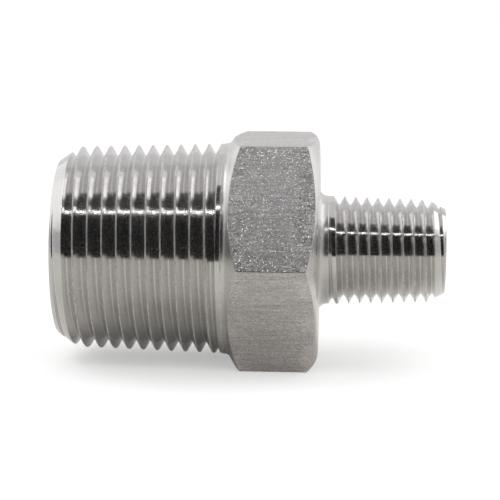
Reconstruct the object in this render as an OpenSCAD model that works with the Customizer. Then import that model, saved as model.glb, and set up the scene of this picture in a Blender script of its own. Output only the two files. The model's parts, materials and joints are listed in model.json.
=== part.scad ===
// Reducing hex nipple: one body turned from hexagon bar, with a male taper pipe thread at each end.
// The axis of the fitting lies along X, with the large end at -X and the small end at +X.
// The origin is on the axis, halfway along the fitting. Two flats of the hexagon face up and down.
// The one machined body is drawn as three sections that meet on flat planes across the axis.

/* [Hexagon] */
// Width across the flats of the hexagon
hex_flats = 28.575; // [28:0.005:36]
// Length of the hexagon along the axis, from where its chamfer meets the collar to its flat face
hex_len = 11.4; // [8:0.1:20]
// Angle of the chamfer on the large side, from the plane across the axis
hex_large_chamfer = 30; // [15:1:40]
// Angle of the chamfer on the small side, from the plane across the axis
hex_small_chamfer = 25; // [15:1:40]
// Diameter of the flat round face of the hexagon on the small side
hex_face_d = 27.7; // [24:0.1:28]

/* [Large threaded end] */
// Length from the end face to where the collar meets the hexagon chamfer
large_len = 21.9; // [19:0.1:30]
// Threads in one inch of the large thread
large_tpi = 14; // [11:0.5:18]
// Diameter over the thread crests at the end face
large_crest_d = 25.7; // [25:0.05:26.4]
// Diameter of the plain collar between the thread and the hexagon
large_collar_d = 27.1; // [26.8:0.05:27.6]
// Plain length of the collar, between the last groove and the fillet
large_collar_len = 0.1; // [0.1:0.1:3]
// Radius of the fillet between the collar and the hexagon chamfer
large_fillet_r = 0.9; // [0.3:0.1:1.1]
// Outer diameter of the flat end face, where the lead-in chamfer starts
large_face_d = 22.45; // [21:0.05:22.8]
// Angle of the lead-in chamfer from the axis
large_lead_in = 34; // [25:1:45]
// Diameter of the bore in the large end
large_bore_d = 15.7; // [8:0.1:18]
// Depth of the large bore, from the end face to its drill cone
large_bore_depth = 19; // [10:0.5:24]
// Share of the lead that the last large groove still travels while it fades out
large_fade_feed = 0.7; // [0.6:0.05:1]
// Turns over which the last large groove fades out
large_fade_turns = 1.15; // [0.2:0.05:1.3]
// Place of the large groove around the end face, in degrees from straight up towards the front
large_start = 346; // [0:1:359]
// Straight facets in one turn of the large thread
large_segments = 60; // [24:4:64]

/* [Small threaded end] */
// Length from the flat face of the hexagon to the end face
small_len = 16.15; // [13:0.05:22]
// Threads in one inch of the small thread
small_tpi = 18; // [16:0.5:27]
// Diameter over the thread crests at the end face
small_crest_d = 13; // [12.7:0.05:13.4]
// Diameter of the plain neck between the hexagon and the thread
small_collar_d = 13.9; // [13.6:0.05:14.6]
// Length of the plain neck, between the hexagon face and the last groove
small_collar_len = 1.3; // [1.25:0.05:3]
// Radius of the fillet between the hexagon face and the neck
small_fillet_r = 1.2; // [0.3:0.05:1.25]
// Outer diameter of the flat end face, where the lead-in chamfer starts
small_face_d = 10.8; // [9.5:0.05:11]
// Angle of the lead-in chamfer from the axis
small_lead_in = 28; // [25:1:45]
// Diameter of the bore in the small end, which runs on to the large bore
small_bore_d = 7.1; // [4:0.1:7.6]
// Share of the lead that the last small groove still travels while it fades out
small_fade_feed = 1; // [0.2:0.05:1]
// Turns over which the last small groove fades out
small_fade_turns = 0.6; // [0.2:0.05:0.6]
// Place of the small groove around the end face, in degrees from straight up towards the front
small_start = 212; // [0:1:359]
// Straight facets in one turn of the small thread
small_segments = 48; // [24:4:64]

/* [Thread form] */
// Taper of both threads on the diameter, one part in this many
thread_taper = 16; // [12:1:24]
// Angle between the two flanks of a groove
thread_angle = 60; // [55:1:60]
// Depth of a groove as a share of the pitch
depth_share = 0.755; // [0.6:0.005:0.78]
// Flat on a crest as a share of the pitch
crest_share = 0.069; // [0.04:0.001:0.09]

/* [Hidden] */
steel = [0.74, 0.73, 0.71];
inch = 25.4;
drill_point = 118;
bore_past = 1;
net_grid = 0.005;
rim_step = 0.02;
hex_sides = 6;
flank_run = tan(thread_angle / 2);
$fn = 96;

// Stations along the axis, from the large end to the small end
total_len = large_len + hex_len + small_len;
x_large_face = -total_len / 2;
x_hex_large = x_large_face + large_len;
x_hex_small = x_hex_large + hex_len;
x_small_face = x_hex_small + small_len;

large_collar_r = large_collar_d / 2;
small_collar_r = small_collar_d / 2;
hex_face_r = hex_face_d / 2;
hex_corner_r = hex_flats / 2 / cos(180 / hex_sides);

// The fillet between collar and chamfer starts this far before the corner that the two would make
large_fillet_run = large_fillet_r * tan((90 - hex_large_chamfer) / 2);
x_large_joint = x_hex_large - large_fillet_run;

// Points that nearly meet are brought together by setting them on a fine grid
function on_grid(v) = round(v / net_grid) * net_grid;

// Each section runs from its end face to its joint with the hexagon, and its thread ends before the collar
large_section_len = x_large_joint - x_large_face;
large_thread_len = on_grid(large_section_len - large_collar_len);
small_thread_len = on_grid(small_len - small_collar_len);

// Stands along X whatever is drawn along Z, from a station on the axis
module on_axis(x) {
    translate([x, 0, 0])
    rotate([0, 90, 0])
    children();
}

// The stepped way through: the wide bore, its drill cone, and the narrow bore
module through_bore() {
    cone_len = (large_bore_d - small_bore_d) / 2 / tan(drill_point / 2);
    on_axis(x_large_face - bore_past)
    cylinder(h = large_bore_depth + bore_past, d = large_bore_d);
    on_axis(x_large_face + large_bore_depth)
    cylinder(h = cone_len, d1 = large_bore_d, d2 = small_bore_d);
    on_axis(x_large_face + large_bore_depth)
    cylinder(h = total_len - large_bore_depth + bore_past, d = small_bore_d);
}

// One male taper thread on a solid core. Its surface is a net: each row of the net follows the
// helix, and u is the distance from the end face. Rows that pass either end are held at its rim.
// pitch, crest_r at the end face, collar_r, face_r, lead angle, length, fade turns, fade feed
function make_form(pitch, crest_r, collar_r, face_r, lead, length, turns, feed) =
    let (depth = pitch * depth_share)
    let (half_root = pitch * (1 - crest_share) / 2 - depth * flank_run)
    let (half_top = half_root + depth * flank_run)
    let (u_fade = length - max(half_top, feed * turns * pitch + half_root))
    [pitch, crest_r, collar_r, face_r, tan(lead), length, turns * pitch, feed, depth, half_root, u_fade];

// Radius of the plain taper, which ends level with the collar, and of the lead-in chamfer
function taper_r(form, u) = min(form[1] + u / 2 / thread_taper, form[2]);
function lead_r(form, u) = form[3] + u * form[4];

// A point of the net as [u, radius] for the groove that has travelled h along the axis.
// Rows 0 to 5 are: groove edge, chamfer crossing, two root lines, chamfer crossing, groove edge.
function net_point(form, h, row) =
    let (past = max(0, h - form[10]), centre = h - past * (1 - form[7]))
    let (cut = form[8] * (1 - past / form[6]), half_root = form[9])
    let (half_top = half_root + cut * flank_run, root_r = taper_r(form, centre) - cut)
    let (spare = (lead_r(form, centre) - root_r) * flank_run, rise = form[4] * flank_run)
    let (down = -max(half_root, min(half_top, (half_root + spare) / (1 + rise))))
    let (up = max(half_root, min(half_top, (half_root + spare) / (1 - rise))))
    let (offset = [-half_top, down, -half_root, half_root, up, half_top][row], u = centre + offset)
    let (flank_r = root_r + (abs(offset) - half_root) / flank_run)
    let (plain = row == 0 || row == 5 ? taper_r(form, u) : flank_r)
    u < net_grid ? [0, form[3]]
    : past > form[6] || u > form[5] - net_grid ? [form[5], form[2]]
    : [on_grid(u), on_grid(min(plain, lead_r(form, u)))];

module tapered_thread(form, start, segments) {
    rows = 6;
    first = -2;
    last = ceil((form[10] + form[6]) / form[0]) + 1;
    count = (last - first + 1) * rows + 1;
    net = [
        for (i = [0 : count - 1], j = [0 : segments - 1])
            let (h = (first + floor(i / rows) + j / segments) * form[0])
            let (p = i == count - 1 ? [form[5], form[2]] : net_point(form, h, i % rows))
            let (angle = start + 360 * j / segments)
            [p[1] * cos(angle), p[1] * sin(angle), p[0]]
    ];
    // Past the last segment the net goes on one turn later, so the rows there are shifted by one turn
    function at(i, j) =
        j < segments ? i * segments + j : min(i + rows, count - 1) * segments;
    sides = [
        for (i = [0 : count - 2], j = [0 : segments - 1])
            each [
                [at(i, j), at(i + 1, j), at(i + 1, j + 1)],
                [at(i, j), at(i + 1, j + 1), at(i, j + 1)]
            ]
    ];
    real = [
        for (f = sides)
            if (net[f[0]] != net[f[1]] && net[f[1]] != net[f[2]] && net[f[2]] != net[f[0]]) f
    ];
    end_face = [for (j = [0 : segments - 1]) at(0, j)];
    inner_face = [for (j = [segments - 1 : -1 : 0]) at(count - 1, j)];
    polyhedron(points = net, faces = concat(real, [end_face, inner_face]));
}

module large_threaded_end() {
    form = make_form(
        inch / large_tpi, large_crest_d / 2, large_collar_r - rim_step, large_face_d / 2, large_lead_in,
        large_thread_len, large_fade_turns, large_fade_feed);
    color(steel)
    difference() {
        on_axis(x_large_face) {
            tapered_thread(form, 180 + large_start, large_segments);
            translate([0, 0, large_thread_len])
            cylinder(h = large_section_len - large_thread_len, r = large_collar_r);
        }
        through_bore();
    }
}

// Half outline of the hexagon section as (radius, distance from the large side joint)
module hex_outline() {
    chamfer_large = tan(hex_large_chamfer);
    chamfer_small = tan(hex_small_chamfer);
    past_r = hex_corner_r + 1;
    end = hex_len + large_fillet_run;
    corner = [large_collar_r, large_fillet_run];
    centre = [large_collar_r + large_fillet_r, 0];
    touch = centre + large_fillet_r * [-sin(hex_large_chamfer), cos(hex_large_chamfer)];
    polygon([
        [0, 0],
        [large_collar_r, 0],
        corner,
        [past_r, large_fillet_run + (past_r - large_collar_r) * chamfer_large],
        [past_r, end - (past_r - hex_face_r) * chamfer_small],
        [hex_face_r, end],
        [0, end]
    ]);
    difference() {
        polygon([[large_collar_r, 0], centre, touch, corner]);
        translate(centre)
        circle(r = large_fillet_r);
    }
}

module wrench_hex() {
    color(steel)
    difference() {
        intersection() {
            on_axis(x_large_joint)
            rotate_extrude()
            hex_outline();
            on_axis(x_large_joint - bore_past)
            rotate([0, 0, 90])
            cylinder(h = total_len, r = hex_corner_r, $fn = hex_sides);
        }
        through_bore();
    }
}

module small_threaded_end() {
    form = make_form(
        inch / small_tpi, small_crest_d / 2, small_collar_r - rim_step, small_face_d / 2, small_lead_in,
        small_thread_len, small_fade_turns, small_fade_feed);
    color(steel)
    difference() {
        on_axis(x_small_face)
        rotate([180, 0, 0]) {
            tapered_thread(form, 180 - small_start, small_segments);
            translate([0, 0, small_thread_len])
            cylinder(h = small_len - small_thread_len, r = small_collar_r);
            translate([0, 0, small_len - small_fillet_r])
            rotate_extrude()
            difference() {
                square([small_collar_r + small_fillet_r, small_fillet_r]);
                translate([small_collar_r + small_fillet_r, 0])
                circle(r = small_fillet_r);
            }
        }
        through_bore();
    }
}

large_threaded_end();
wrench_hex();
small_threaded_end();
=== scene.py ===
"""Reducing hex nipple of stainless steel: mirror-bright cut threads and a satin hexagon, on a pale floor."""
import json
import math

import bmesh
import bpy
import numpy as np
from mathutils import Matrix, Vector


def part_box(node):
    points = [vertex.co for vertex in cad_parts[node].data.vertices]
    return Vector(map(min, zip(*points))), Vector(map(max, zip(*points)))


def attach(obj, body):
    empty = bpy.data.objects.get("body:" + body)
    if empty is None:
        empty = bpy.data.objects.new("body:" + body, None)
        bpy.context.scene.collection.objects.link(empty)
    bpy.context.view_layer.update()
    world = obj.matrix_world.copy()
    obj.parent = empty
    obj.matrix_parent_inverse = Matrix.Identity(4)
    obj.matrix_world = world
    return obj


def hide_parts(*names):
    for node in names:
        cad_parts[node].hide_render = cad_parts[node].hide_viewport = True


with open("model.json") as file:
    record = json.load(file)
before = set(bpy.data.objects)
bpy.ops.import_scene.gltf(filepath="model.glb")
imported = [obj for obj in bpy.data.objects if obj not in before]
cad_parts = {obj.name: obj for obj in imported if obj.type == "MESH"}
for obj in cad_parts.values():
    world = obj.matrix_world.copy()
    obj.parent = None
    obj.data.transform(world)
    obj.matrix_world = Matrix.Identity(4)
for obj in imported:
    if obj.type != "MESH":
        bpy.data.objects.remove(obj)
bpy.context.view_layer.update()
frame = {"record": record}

MM = 0.001
INCH = 25.4 * MM
TURN = 2 * math.pi

mounts = {m["name"]: m for m in frame["record"]["mounts"]}
large_lo, large_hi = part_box("large_threaded_end")
hex_lo, hex_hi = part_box("wrench_hex")
small_lo, small_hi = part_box("small_threaded_end")

# ---------------------------------------------------------------- dimensions the boxes don't give

# Bores
LARGE_BORE_R = mounts["large_bore"]["dims"]["r_mm"] * MM
SMALL_BORE_R = mounts["small_bore"]["dims"]["r_mm"] * MM
BORE_END_X = large_lo.x + mounts["large_bore"]["dims"]["length_mm"] * MM
DRILL_SLOPE = 1 / math.tan(math.radians(118 / 2))
BORE_EDGE = 0.15 * MM

# Thread form, shared by both ends. Depth, crest, corner and step are in pitches.
TAPER = 1 / 32
FLANK_RUN = math.tan(math.radians(30))
DEPTH_SHARE = 0.755
CREST_SHARE = 0.069
SOFT_CORNER = 0.03
CORNER_ROWS = (-2, -1, 0, 1, 2)
CORNER_STEP = 0.0155

# Large end
COLLAR_R = large_hi.y
COLLAR_LEN = 0.1 * MM
LARGE_CREST_R = 12.85 * MM
LARGE_FACE_R = 11.225 * MM

# Small end
NECK_R = 6.95 * MM
NECK_LEN = 1.3 * MM
NECK_FILLET_R = 1.2 * MM
SMALL_CREST_R = 6.5 * MM
SMALL_FACE_R = 5.4 * MM

# Hexagon
FLATS_R = hex_hi.z
HEX_FACE_R = 13.85 * MM
COLLAR_FILLET_R = 0.9 * MM
LARGE_CHAMFER = math.radians(30)
SMALL_CHAMFER = math.radians(25)
HEX_EDGE = 0.12 * MM
HEX_CORNER = 0.08 * MM

# Fine steps of the meshes
FILLET_STEPS = 10
WELD_DISTANCE = 0.0002 * MM
HEX_RIM_STEP = 0.01 * MM
RIM_BEVEL = 0.012 * MM
SEAM_STEP = 0.02 * MM
EDGE_STEP = 0.03 * MM
RIM_STEP = 0.05 * MM


# ---------------------------------------------------------------- meshes

def soft_min(a, b, width):
    """The lower of two heights, with the edge between them rounded over a difference of width."""
    gap = np.maximum(width - np.abs(a - b), 0)
    return np.minimum(a, b) - gap * gap / (4 * np.maximum(width, 1e-12))


def soft_max(a, b, width):
    return -soft_min(-a, -b, width)


def bore_radius(x):
    """Radius of the stepped way through at a place on the axis."""
    cone = LARGE_BORE_R - (x - BORE_END_X) / DRILL_SLOPE
    return min(LARGE_BORE_R, max(SMALL_BORE_R, cone))


def grid_mesh(name, x, r, angles, seam, slots=None):
    """A closed shell from rows of points: x and r hold one value per row and column, and angles one per column.
    Angles run from straight up towards the front. Past the last column, row i goes on as row seam[i] of the first.
    slots gives the material slot of the face that starts at each point."""
    y, z = -r * np.sin(angles), r * np.cos(angles)
    points = np.stack([x, y, z], axis=-1).reshape(-1, 3)
    here = np.arange(x.size).reshape(x.shape)
    across = np.concatenate([here[:, 1:], here[seam, 0][:, None]], axis=1)
    quads = np.stack([here, np.roll(here, -1, 0), np.roll(across, -1, 0), across], axis=-1).reshape(-1, 4)
    mesh = bpy.data.meshes.new(name)
    mesh.from_pydata(points.tolist(), [], quads.tolist())
    if slots is not None:
        mesh.polygons.foreach_set("material_index", slots.astype(int).ravel())
    bm = bmesh.new()
    bm.from_mesh(mesh)
    bmesh.ops.remove_doubles(bm, verts=bm.verts, dist=WELD_DISTANCE)
    bmesh.ops.recalc_face_normals(bm, faces=bm.faces)
    bm.to_mesh(mesh)
    bm.free()
    mesh.polygons.foreach_set("use_smooth", [True] * len(mesh.polygons))
    mesh.set_sharp_from_angle(angle=math.radians(50))
    piece = bpy.data.objects.new(name, mesh)
    bpy.context.scene.collection.objects.link(piece)
    return piece


def rings(profile, columns):
    """Rows of a lathe profile, given as (x, r) pairs, as two arrays of one row per pair."""
    x, r = np.array(profile, float).T
    return np.repeat(x[:, None], columns, 1), np.repeat(r[:, None], columns, 1)


class Thread:
    """One male taper thread. lead is the angle of its lead-in chamfer, from the axis.
    u is the distance from its end face, and a groove's travel h grows by a pitch each turn. The last groove fades out
    over fade_turns, in which it keeps the share fade_feed of that travel."""

    def __init__(self, face_x, inward, per_inch, crest_r, rim_r, face_r, lead, length,
                 fade_turns, fade_feed, start, columns):
        self.face_x, self.inward = face_x, inward
        self.pitch = INCH / per_inch
        self.crest_r, self.rim_r, self.face_r = crest_r, rim_r, face_r
        self.lead = math.tan(math.radians(lead))
        self.length, self.feed = length, fade_feed
        self.fade = fade_turns * self.pitch
        self.depth = self.pitch * DEPTH_SHARE
        self.half_root = self.pitch * (1 - CREST_SHARE) / 2 - self.depth * FLANK_RUN
        half_top = self.half_root + self.depth * FLANK_RUN
        self.u_fade = length - max(half_top, fade_feed * self.fade + self.half_root)
        self.columns = columns
        self.share = np.arange(columns) / columns
        self.angles = math.radians(start) + inward * TURN * self.share
        self.soft = self.pitch * SOFT_CORNER
        self.turns = range(-2, math.ceil((self.u_fade + self.fade) / self.pitch) + 2)

    def taper_r(self, u):
        return np.minimum(self.crest_r + u * TAPER, self.rim_r)

    def lead_r(self, u):
        return self.face_r + u * self.lead

    def groove(self, k):
        """Centre and depth of groove k at each column."""
        h = (self.share + k) * self.pitch
        past = np.maximum(0, h - self.u_fade)
        return h - past * (1 - self.feed), self.depth * np.maximum(0, 1 - past / self.fade)

    def surface(self, u):
        """Radius of the finished surface at u, for rows of one value per column."""
        r = self.taper_r(u)
        for k in self.turns:
            centre, cut = self.groove(k)
            soft = np.minimum(self.soft, cut)
            root = self.taper_r(centre) - cut
            wall = root + (np.abs(u - centre) - self.half_root) / FLANK_RUN
            r = np.where(cut > 0, soft_min(r, soft_max(wall, root, soft), soft), r)
        return soft_min(r, self.lead_r(u), self.soft)

    def rows(self):
        """Places along the axis that follow every edge of every groove, in order, for each column."""
        step = CORNER_STEP * self.pitch
        places = []
        for k in self.turns:
            centre, cut = self.groove(k)
            next_centre, next_cut = self.groove(k + 1)
            half_top = self.half_root + cut * FLANK_RUN
            spare = (self.lead_r(centre) - self.taper_r(centre) + cut) * FLANK_RUN
            rise = self.lead * FLANK_RUN
            down = np.clip((self.half_root + spare) / (1 + rise), self.half_root, half_top)
            up = np.clip((self.half_root + spare) / (1 - rise), self.half_root, half_top)
            edges = (-half_top, -down, -self.half_root + 0 * cut, self.half_root + 0 * cut, up, half_top)
            block = [centre] + [centre + edge + step * n for edge in edges for n in CORNER_ROWS]
            block.append((centre + half_top + next_centre - self.half_root - next_cut * FLANK_RUN) / 2)
            places += [np.where(cut > 0, row, self.length) for row in block]
        self.rows_per_turn = len(block)
        return np.clip(np.sort(np.array(places), axis=0), RIM_STEP, self.length)

    def on_crest(self, u):
        """Whether each place lies on a crest between two grooves, or on its rounded corners."""
        found = np.zeros(u.shape, bool)
        for k in self.turns:
            (centre, cut), (next_centre, next_cut) = self.groove(k), self.groove(k + 1)
            start = centre + self.half_root + cut * FLANK_RUN
            end = next_centre - self.half_root - next_cut * FLANK_RUN
            reach = (end - start) / 2 + CORNER_STEP * self.pitch
            found |= (np.abs(u - (start + end) / 2) < reach) & (next_cut > self.depth / 2)
        return found & (self.taper_r(u) < self.lead_r(u))

    def piece(self, name, rest, dull_rings=0):
        """The thread, joined to the (x, r) rings in rest, from its inner rim through the bore to its face.
        Crests take material slot 1, and the first dull_rings rings of rest slot 2."""
        u = self.rows()
        x, r = self.face_x + self.inward * u, self.surface(u)
        rest_x, rest_r = rings(rest, self.columns)
        last = len(u) - 1
        seam = [min(i + self.rows_per_turn, last) for i in range(len(u))]
        seam += list(range(len(u), len(u) + len(rest)))
        slots = np.zeros((len(seam), self.columns))
        slots[:last] = self.on_crest((u[:-1] + u[1:]) / 2)
        slots[len(u):len(u) + dull_rings] = 2
        return grid_mesh(name, np.vstack([x, rest_x]), np.vstack([r, rest_r]), self.angles, seam, slots)


def face_rings(face_x, inward, face_r, bore_r):
    """Rings of an end face, from the edge of its bore out to its rim."""
    return [
        (face_x + inward * BORE_EDGE, bore_r),
        (face_x + inward * SEAM_STEP, bore_r + BORE_EDGE - SEAM_STEP),
        (face_x, bore_r + BORE_EDGE + EDGE_STEP),
        (face_x, face_r - RIM_STEP),
        (face_x + inward * RIM_BEVEL, face_r - RIM_BEVEL),
    ]


large_thread = Thread(
    face_x=large_lo.x, inward=1, per_inch=14, crest_r=LARGE_CREST_R, rim_r=COLLAR_R - SEAM_STEP,
    face_r=LARGE_FACE_R, lead=34, length=large_hi.x - large_lo.x - COLLAR_LEN,
    fade_turns=1.15, fade_feed=0.7, start=346, columns=240)
joint_bore_r = bore_radius(large_hi.x)
large_end = large_thread.piece("large_end", [
    (large_hi.x - COLLAR_LEN + SEAM_STEP, COLLAR_R),
    (large_hi.x, COLLAR_R),
    (large_hi.x, joint_bore_r),
    (BORE_END_X, LARGE_BORE_R),
] + face_rings(large_lo.x, 1, LARGE_FACE_R, LARGE_BORE_R))

small_thread = Thread(
    face_x=small_hi.x, inward=-1, per_inch=18, crest_r=SMALL_CREST_R, rim_r=NECK_R - SEAM_STEP,
    face_r=SMALL_FACE_R, lead=28, length=small_hi.x - small_lo.x - NECK_LEN,
    fade_turns=0.6, fade_feed=1, start=212, columns=192)
neck_fillet = [
    (small_lo.x + NECK_FILLET_R * (1 - math.sin(a)), NECK_R + NECK_FILLET_R * (1 - math.cos(a)))
    for a in (i * TURN / 4 / FILLET_STEPS for i in range(FILLET_STEPS + 1))
]
small_end = small_thread.piece("small_end", [
    (small_lo.x + NECK_LEN - SEAM_STEP, NECK_R),
] + neck_fillet + [
    (small_lo.x, SMALL_BORE_R),
] + face_rings(small_hi.x, -1, SMALL_FACE_R, SMALL_BORE_R), dull_rings=FILLET_STEPS + 1)


# ---------------------------------------------------------------- hexagon

def hexagon_columns():
    """Angles round the hexagon, closer together at its six corners."""
    near = [0, 0.15, 0.35, 0.6, 0.9, 1.3, 2, 3]
    one = sorted({a for a in near} | {float(a) for a in np.linspace(3, 57, 37)} | {60 - a for a in near[1:]})
    return np.radians([corner + a for corner in range(30, 390, 60) for a in one])


def hexagon_radius(angles):
    """Radius of the hexagon at each angle, with its six long corners slightly rounded."""
    faces = [FLATS_R / np.maximum(np.cos(angles - side * TURN / 6), 0.2) for side in range(6)]
    nearest = np.sort(np.array(faces), axis=0)
    return soft_min(nearest[0], nearest[1], HEX_CORNER)


hex_angles = hexagon_columns()
hex_r = hexagon_radius(hex_angles)
fillet_turn = TURN / 4 - LARGE_CHAMFER
fillet_end = COLLAR_FILLET_R * math.sin(fillet_turn)
chamfer_x = hex_lo.x + COLLAR_FILLET_R * math.tan(fillet_turn / 2)
fillet_x = [
    hex_lo.x + COLLAR_FILLET_R * math.sin(i * fillet_turn / FILLET_STEPS)
    for i in range(FILLET_STEPS + 1)
]
cross_large = chamfer_x + (hex_r - COLLAR_R) * math.tan(LARGE_CHAMFER)
cross_small = hex_hi.x - (hex_r - HEX_FACE_R) * math.tan(SMALL_CHAMFER)


def between(a, b, count):
    return [a + (b - a) * (i + 1) / (count + 1) for i in range(count)]


def around(edge):
    """Rows close to an edge, on both sides of it."""
    return [edge + n * EDGE_STEP for n in (-3, -2, -1, 0, 1, 2, 3)]


columns = len(hex_angles)
rim_x = np.full(columns, hex_hi.x - RIM_STEP)
large_rows, small_rows = around(cross_large), around(cross_small)
hex_rows = [np.full(columns, x) for x in fillet_x]
hex_rows += between(hex_rows[-1], large_rows[0], 6) + large_rows
hex_rows += between(large_rows[-1], small_rows[0], 24) + small_rows
hex_rows += between(small_rows[-1], rim_x, 3)
hex_x = np.clip(np.array(hex_rows), hex_lo.x, hex_hi.x - RIM_STEP)


def hex_lathe(x):
    """Radius of the turned outline of the hexagon: collar fillet, large chamfer and small chamfer."""
    run = np.clip(x - hex_lo.x, 0, fillet_end)
    arc = COLLAR_R + COLLAR_FILLET_R - np.sqrt(COLLAR_FILLET_R ** 2 - run ** 2)
    cone = COLLAR_R + (x - chamfer_x) / math.tan(LARGE_CHAMFER)
    large = np.where(x < fillet_x[-1], arc, cone)
    small = HEX_FACE_R + (hex_hi.x - x) / math.tan(SMALL_CHAMFER)
    return np.minimum(large, small)


body_r = soft_min(hex_lathe(hex_x), np.repeat(hex_r[None, :], len(hex_x), 0), HEX_EDGE)
rest_x, rest_r = rings([
    (hex_hi.x - HEX_RIM_STEP, HEX_FACE_R - HEX_RIM_STEP),
    (hex_hi.x, HEX_FACE_R - 0.06 * MM),
    (hex_hi.x, NECK_R + NECK_FILLET_R),
    (hex_hi.x, SMALL_BORE_R),
    (BORE_END_X + (LARGE_BORE_R - SMALL_BORE_R) * DRILL_SLOPE, SMALL_BORE_R),
    (hex_lo.x, joint_bore_r),
], columns)
hexagon = grid_mesh(
    "hexagon", np.vstack([hex_x, rest_x]), np.vstack([body_r, rest_r]), hex_angles,
    list(range(len(hex_x) + len(rest_x))))

# ---------------------------------------------------------------- materials

def node_tree(name):
    material = bpy.data.materials.new(name)
    material.use_nodes = True
    nodes, links = material.node_tree.nodes, material.node_tree.links
    return material, nodes, links, nodes["Principled BSDF"]


def vector_math(nodes, links, operation, *inputs):
    node = nodes.new("ShaderNodeVectorMath")
    node.operation = operation
    for socket, value in zip(node.inputs, inputs):
        if isinstance(value, bpy.types.NodeSocket):
            links.new(value, socket)
        else:
            socket.default_value = value
    return node.outputs["Vector"]


def object_place(nodes, links, stretch=(1, 1, 1), seed=0.0):
    """Place on the object, scaled along each axis and then moved by seed."""
    place = nodes.new("ShaderNodeTexCoord")
    return vector_math(nodes, links, "MULTIPLY_ADD", place.outputs["Object"], stretch, (seed, seed, seed))


def noise(nodes, links, scale, detail, stretch=(1, 1, 1), seed=0.0):
    """Noise in object space. An axis with a small stretch gets long grains."""
    texture = nodes.new("ShaderNodeTexNoise")
    texture.inputs["Scale"].default_value = scale
    texture.inputs["Detail"].default_value = detail
    links.new(object_place(nodes, links, stretch, seed), texture.inputs["Vector"])
    return texture.outputs["Fac"]


def spread(nodes, links, value, low, high, to_low, to_high):
    """Maps a value from one range to another."""
    ramp = nodes.new("ShaderNodeMapRange")
    ramp.inputs["From Min"].default_value = low
    ramp.inputs["From Max"].default_value = high
    ramp.inputs["To Min"].default_value = to_low
    ramp.inputs["To Max"].default_value = to_high
    links.new(value, ramp.inputs["Value"])
    return ramp.outputs["Result"]


def tint(nodes, links, value, dark, light):
    mix = nodes.new("ShaderNodeMix")
    mix.data_type = "RGBA"
    mix.inputs["A"].default_value = (*dark, 1)
    mix.inputs["B"].default_value = (*light, 1)
    links.new(value, mix.inputs["Factor"])
    return mix.outputs["Result"]


def bump(nodes, links, height, distance, strength, under=None):
    node = nodes.new("ShaderNodeBump")
    node.inputs["Distance"].default_value = distance
    node.inputs["Strength"].default_value = strength
    links.new(height, node.inputs["Height"])
    if under is not None:
        links.new(under, node.inputs["Normal"])
    return node.outputs["Normal"]


def edge_wear(nodes, links, low, high):
    """0 on flat ground, rising to 1 on outer edges sharper than high."""
    geometry = nodes.new("ShaderNodeNewGeometry")
    return spread(nodes, links, geometry.outputs["Pointiness"], low, high, 0, 1)


def mix_values(nodes, links, share, low, high):
    """low where share is 0 and high where it is 1; both may be sockets or plain numbers."""
    mix = nodes.new("ShaderNodeMix")
    links.new(share, mix.inputs["Factor"])
    for socket, value in ((mix.inputs[2], low), (mix.inputs[3], high)):
        if isinstance(value, bpy.types.NodeSocket):
            links.new(value, socket)
        else:
            socket.default_value = value
    return mix.outputs[0]


def turned_steel(name, smoothest, roughest):
    """Bright cut steel with fine tool rings round the axis, cloudy roughness and small pits."""
    material, nodes, links, shader = node_tree(name)
    shader.inputs["Metallic"].default_value = 1
    clouds = noise(nodes, links, 400, 4)
    tool_rings = noise(nodes, links, 12000, 2, (1, 0.01, 0.01), seed=3)
    pits = noise(nodes, links, 9000, 2, seed=11)
    shader.inputs["Anisotropic"].default_value = 0.8
    shader.inputs["Anisotropic Rotation"].default_value = 0.25
    tangent = nodes.new("ShaderNodeTangent")
    tangent.direction_type = "RADIAL"
    tangent.axis = "X"
    links.new(tangent.outputs["Tangent"], shader.inputs["Tangent"])
    links.new(tint(nodes, links, clouds, (0.76, 0.745, 0.738), (0.84, 0.825, 0.818)), shader.inputs["Base Color"])
    smooth = spread(nodes, links, clouds, 0.3, 0.7, smoothest, roughest)
    pitted = mix_values(nodes, links, spread(nodes, links, pits, 0.62, 0.72, 0, 1), smooth, 0.5)
    links.new(pitted, shader.inputs["Roughness"])
    links.new(bump(nodes, links, tool_rings, 0.002 * MM, 0.4), shader.inputs["Normal"])
    return material


def worn_steel():
    """Thread crests, scuffed pale and dull in small dashes."""
    material, nodes, links, shader = node_tree("worn_steel")
    shader.inputs["Metallic"].default_value = 1
    dashes = noise(nodes, links, 6500, 1, seed=19)
    pale = spread(nodes, links, dashes, 0.4, 0.55, 0, 1)
    links.new(tint(nodes, links, pale, (0.5, 0.49, 0.48), (0.97, 0.96, 0.955)), shader.inputs["Base Color"])
    links.new(spread(nodes, links, dashes, 0.35, 0.65, 0.35, 0.65), shader.inputs["Roughness"])
    links.new(bump(nodes, links, dashes, 0.03 * MM, 0.8), shader.inputs["Normal"])
    return material


def facets(nodes, links, scale, stretch, tilt):
    """Small flat facets that lean at random by up to tilt: a random value for each, and the leaning normal."""
    cells = nodes.new("ShaderNodeTexVoronoi")
    cells.inputs["Scale"].default_value = scale
    links.new(object_place(nodes, links, stretch), cells.inputs["Vector"])
    lean = vector_math(nodes, links, "SUBTRACT", cells.outputs["Color"], (0.5, 0.5, 0.5))
    lean = vector_math(nodes, links, "MULTIPLY", lean, tilt)
    geometry = nodes.new("ShaderNodeNewGeometry")
    total = vector_math(nodes, links, "ADD", geometry.outputs["Normal"], lean)
    split = nodes.new("ShaderNodeSeparateColor")
    links.new(cells.outputs["Color"], split.inputs["Color"])
    return split.outputs["Red"], vector_math(nodes, links, "NORMALIZE", total)


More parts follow.
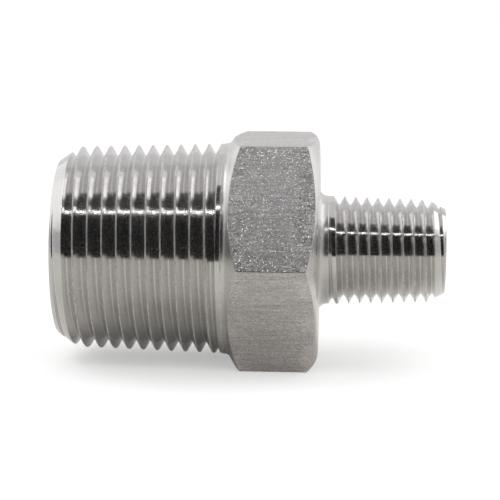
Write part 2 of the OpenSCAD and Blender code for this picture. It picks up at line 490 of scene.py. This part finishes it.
def near_ends(nodes, links, low, high):
    """0 in the middle of the hexagon, rising to 1 towards both its ends between two distances from the middle."""
    middle = ((hex_lo.x + hex_hi.x) / 2, 0, 0)
    axes = nodes.new("ShaderNodeSeparateXYZ")
    links.new(vector_math(nodes, links, "SUBTRACT", object_place(nodes, links), middle), axes.inputs["Vector"])
    away = nodes.new("ShaderNodeMath")
    away.operation = "ABSOLUTE"
    links.new(axes.outputs["X"], away.inputs[0])
    return spread(nodes, links, away.outputs[0], low, high, 0, 1)


def bar_steel():
    """Satin hexagon bar: small leaning facets that sparkle in patches near both ends, where they lean further and are
    painted lighter as painted sparkle, fine streaks along the axis, and long edges rubbed pale."""
    material, nodes, links, shader = node_tree("bar_steel")
    shader.inputs["Metallic"].default_value = 1
    patches = spread(nodes, links, noise(nodes, links, 350, 3, seed=2), 0.44, 0.54, 0, 1)
    sparkle_share = mix_values(nodes, links, patches, 0, near_ends(nodes, links, 2.5 * MM, 5 * MM))
    lean = mix_values(nodes, links, sparkle_share, 0.14, 0.32)
    facet, leaning = facets(nodes, links, 9000, (0.7, 1, 1), lean)

    streaks = noise(nodes, links, 5000, 3, (0.03, 1, 1))
    in_streak = mix_values(nodes, links, facet, 0.4, 1)
    off_streak = mix_values(nodes, links, facet, 0, 0.6)
    pale = mix_values(nodes, links, spread(nodes, links, streaks, 0.35, 0.65, 0, 1), off_streak, in_streak)
    # In the sparkle patches near both ends the facets are painted lighter: painted sparkle, beside their real further
    # lean.
    pale = mix_values(nodes, links, sparkle_share, pale, mix_values(nodes, links, pale, 0.3, 1.3))
    wear = edge_wear(nodes, links, 0.52, 0.56)
    pale = mix_values(nodes, links, wear, pale, 1)
    links.new(tint(nodes, links, pale, (0.5, 0.474, 0.475), (0.95, 0.905, 0.905)), shader.inputs["Base Color"])

    rough = spread(nodes, links, facet, 0, 1, 0.4, 0.24)
    links.new(mix_values(nodes, links, wear, rough, 0.5), shader.inputs["Roughness"])
    links.new(bump(nodes, links, streaks, 0.01 * MM, 0.8, leaning), shader.inputs["Normal"])
    return material


steel = turned_steel("turned_steel", 0.12, 0.17)
worn = worn_steel()
satin = bar_steel()
chamfer_steel = turned_steel("chamfer_steel", 0.24, 0.32)
for piece in (large_end, small_end):
    for material in (steel, worn, chamfer_steel):
        piece.data.materials.append(material)
for material in (satin, chamfer_steel):
    hexagon.data.materials.append(material)

# Faces of the hexagon that lean further from the radius take the turned finish: fillet, chamfers, end and drill cone
LEAST_RADIAL = 0.97
for face in hexagon.data.polygons:
    if Vector((0, face.normal.y, face.normal.z)).length < LEAST_RADIAL:
        face.material_index = 1

for piece, node, slot in (
    (large_end, "large_threaded_end", "turned_steel"),
    (hexagon, "wrench_hex", "bar_steel"),
    (small_end, "small_threaded_end", "turned_steel"),
):
    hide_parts(node)
    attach(piece, "root")

# ---------------------------------------------------------------- camera

AIM = Vector((-0.28, 0.12, -0.2)) * MM
CAMERA_AZIMUTH = math.radians(3.06)
CAMERA_ELEVATION = math.radians(10.03)
CAMERA_ROLL = math.radians(0.22)
CAMERA_DISTANCE = 254.9 * MM
CAMERA_LENS = 142.29


def seen_from(azimuth, elevation):
    """Unit vector from the object towards a place in front of it, to the right by azimuth and up by elevation."""
    return Vector((
        math.sin(azimuth) * math.cos(elevation),
        -math.cos(azimuth) * math.cos(elevation),
        math.sin(elevation)))


camera = bpy.data.objects.new("camera", bpy.data.cameras.new("camera"))
camera.data.sensor_width = 36
camera.data.lens = CAMERA_LENS
camera.data.clip_start = 10 * MM
camera.data.clip_end = 10
back = seen_from(CAMERA_AZIMUTH, CAMERA_ELEVATION)
camera.location = AIM + back * CAMERA_DISTANCE
turn = (-back).to_track_quat("-Z", "Y").to_matrix() @ Matrix.Rotation(CAMERA_ROLL, 3, "Z")
camera.rotation_euler = turn.to_euler()
bpy.context.scene.collection.objects.link(camera)
bpy.context.scene.camera = camera

# ---------------------------------------------------------------- studio

FLOOR_HALF = 2.0
FLOOR_PAINT = (0.92, 0.92, 0.92)
FLOOR_LIFT = 0.36
WORLD_AS_LIGHT, WORLD_AS_SEEN = 0.7, 1.0
TABLE_GAP = 0.005 * MM
ROOF_Z = 0.4
FRONT_Y = 215 * MM
WALL_DISTANCE = 0.45
LAMP_POWER = 4


def square(z):
    return [(x * FLOOR_HALF, y * FLOOR_HALF, z) for x, y in ((-1, -1), (1, -1), (1, 1), (-1, 1))]


def flat(name, corners, paint, roughness):
    """A flat object with the given corners, and its matt material with a white glow that is still off."""
    mesh = bpy.data.meshes.new(name)
    mesh.from_pydata(corners, [], [range(len(corners))])
    panel = bpy.data.objects.new(name, mesh)
    bpy.context.scene.collection.objects.link(panel)
    material, nodes, links, shader = node_tree(name)
    shader.inputs["Base Color"].default_value = (*paint, 1)
    shader.inputs["Roughness"].default_value = roughness
    shader.inputs["Specular IOR Level"].default_value = 0
    shader.inputs["Emission Color"].default_value = (1, 1, 1, 1)
    shader.inputs["Emission Strength"].default_value = 0
    mesh.materials.append(material)
    return panel, nodes, links, shader


def card(name, corners, glow):
    """A card with an even glow, black until it is given a paint, which shows only in reflections, as a painted
    reflection.
    """
    panel, nodes, links, shader = flat(name, corners, (0, 0, 0), 1)
    shader.inputs["Emission Strength"].default_value = glow
    panel.visible_camera = False
    panel.visible_shadow = False
    panel.visible_diffuse = False
    return nodes, links, shader


def sees_background(nodes, links):
    """1 for camera, glossy and transmission rays, and 0 for the rays that only light things."""
    path = nodes.new("ShaderNodeLightPath")
    total = path.outputs["Is Camera Ray"]
    for name in ("Is Glossy Ray", "Is Transmission Ray"):
        add = nodes.new("ShaderNodeMath")
        add.operation = "MAXIMUM"
        links.new(total, add.inputs[0])
        links.new(path.outputs[name], add.inputs[1])
        total = add.outputs[0]
    return total


def lay_floor():
    """The floor that the camera sees. The steel mirrors the table card in its place."""
    floor, nodes, links, shader = flat("floor", square(0), FLOOR_PAINT, 0.8)
    floor.location.z = hex_lo.z
    floor.visible_glossy = False
    floor.visible_shadow = False
    lift = spread(nodes, links, sees_background(nodes, links), 0, 1, 0, FLOOR_LIFT)
    links.new(lift, shader.inputs["Emission Strength"])


def light_world():
    """White all round, and brighter where it is seen than where it only lights things."""
    world = bpy.data.worlds.new("studio")
    bpy.context.scene.world = world
    world.use_nodes = True
    nodes, links = world.node_tree.nodes, world.node_tree.links
    background = nodes["Background"]
    background.inputs["Color"].default_value = (1, 1, 1, 1)
    level = spread(nodes, links, sees_background(nodes, links), 0, 1, WORLD_AS_LIGHT, WORLD_AS_SEEN)
    links.new(level, background.inputs["Strength"])


def lay_table():
    """The table as the steel sees it, grey in front of the object as painted shade and paler behind it as painted
    light, with a faint glow that is painted light too. It lies a hair above the floor, so that it takes the object's
    contact shadow in reflections."""
    # The faint glow is painted light that lifts the contact shadow in reflections.
    nodes, links, shader = card("table", square(hex_lo.z + TABLE_GAP), 0.02)
    axes = nodes.new("ShaderNodeSeparateXYZ")
    links.new(object_place(nodes, links), axes.inputs["Vector"])
    painted_backlight = spread(nodes, links, axes.outputs["Y"], -12 * MM, 4 * MM, 0, 1)
    # Grey in front of the object is painted shade, and pale behind it is painted light from behind.
    links.new(tint(nodes, links, painted_backlight, (0.64, 0.63, 0.59), (0.95, 0.94, 0.91)), shader.inputs["Base Color"])


lay_floor()
light_world()
lay_table()

# Painted reflections: the white tent's roof as a glowing card, and the dark room seen through its open front as
# painted shade, a nearly black card under a dimly glowing ceiling card.
# The roof's outline is in metres, and the front ones in distances from the object to the plane of the cards.
ROOF = [(-0.5, -0.055), (0.5, -0.055), (0.5, 0.7), (-0.5, 0.7)]
DARK_ROOM = [(-3.4, 0), (1.2, 0), (1.4, 1.45), (-3.5, 1.45)]
DIM_CEILING = [(-4, 1.45), (3, 1.45), (3, 3.3), (0.9, 7.5), (-0.9, 7.5), (-5.6, 5.6), (-5.6, 1.45)]
card("tent_roof", [(x, y, ROOF_Z) for x, y in ROOF], 0.6)
for name, outline, glow in (("dark_room", DARK_ROOM, 0.015), ("dim_ceiling", DIM_CEILING, 0.05)):
    card(name, [(x * FRONT_Y, -FRONT_Y, hex_lo.z + z * FRONT_Y) for x, z in outline], glow)


def wall(name, start, end, top, glow):
    """An upright glowing card, a painted reflection, that stands round the object from one azimuth to another, up to
    an elevation.
    """
    foot, other_foot = (seen_from(math.radians(azimuth), 0) * WALL_DISTANCE for azimuth in (start, end))
    rise = Vector((0, 0, WALL_DISTANCE * math.tan(math.radians(top))))
    card(name, [foot, other_foot, other_foot + rise, foot + rise], glow)


# Glowing cards round the object: painted reflections of lit side walls and a lit backdrop.
wall("left_wall", -74, -104, 13, 0.5)
wall("right_wall", 48, 110, 24, 0.45)
wall("backdrop", 150, 210, 45, 0.72)


def panel_light(name, azimuth, elevation, distance, width, height, brightness):
    """A rectangular lamp that faces the object, as bright as a white card lit to that level."""
    data = bpy.data.lights.new(name, "AREA")
    data.shape = "RECTANGLE"
    data.size, data.size_y = width, height
    data.energy = brightness * LAMP_POWER * width * height
    lamp = bpy.data.objects.new(name, data)
    way = seen_from(math.radians(azimuth), math.radians(elevation))
    lamp.location = way * distance
    lamp.rotation_euler = way.to_track_quat("Z", "Y").to_euler()
    bpy.context.scene.collection.objects.link(lamp)


panel_light("tube", 0, 53.7, 0.25, 0.3, 0.0035, 10)
panel_light("tube_end", -68.6, 37.7, 0.3, 0.06, 0.005, 10)
panel_light("left_softbox", -102, 51, 0.5, 0.23, 0.2, 1.1)
panel_light("left_softbox_edge", -124, 51, 0.5, 0.14, 0.2, 0.4)
panel_light("right_softbox", 112, 52, 0.5, 0.4, 0.3, 0.6)

bpy.context.scene.view_settings.view_transform = "Standard"
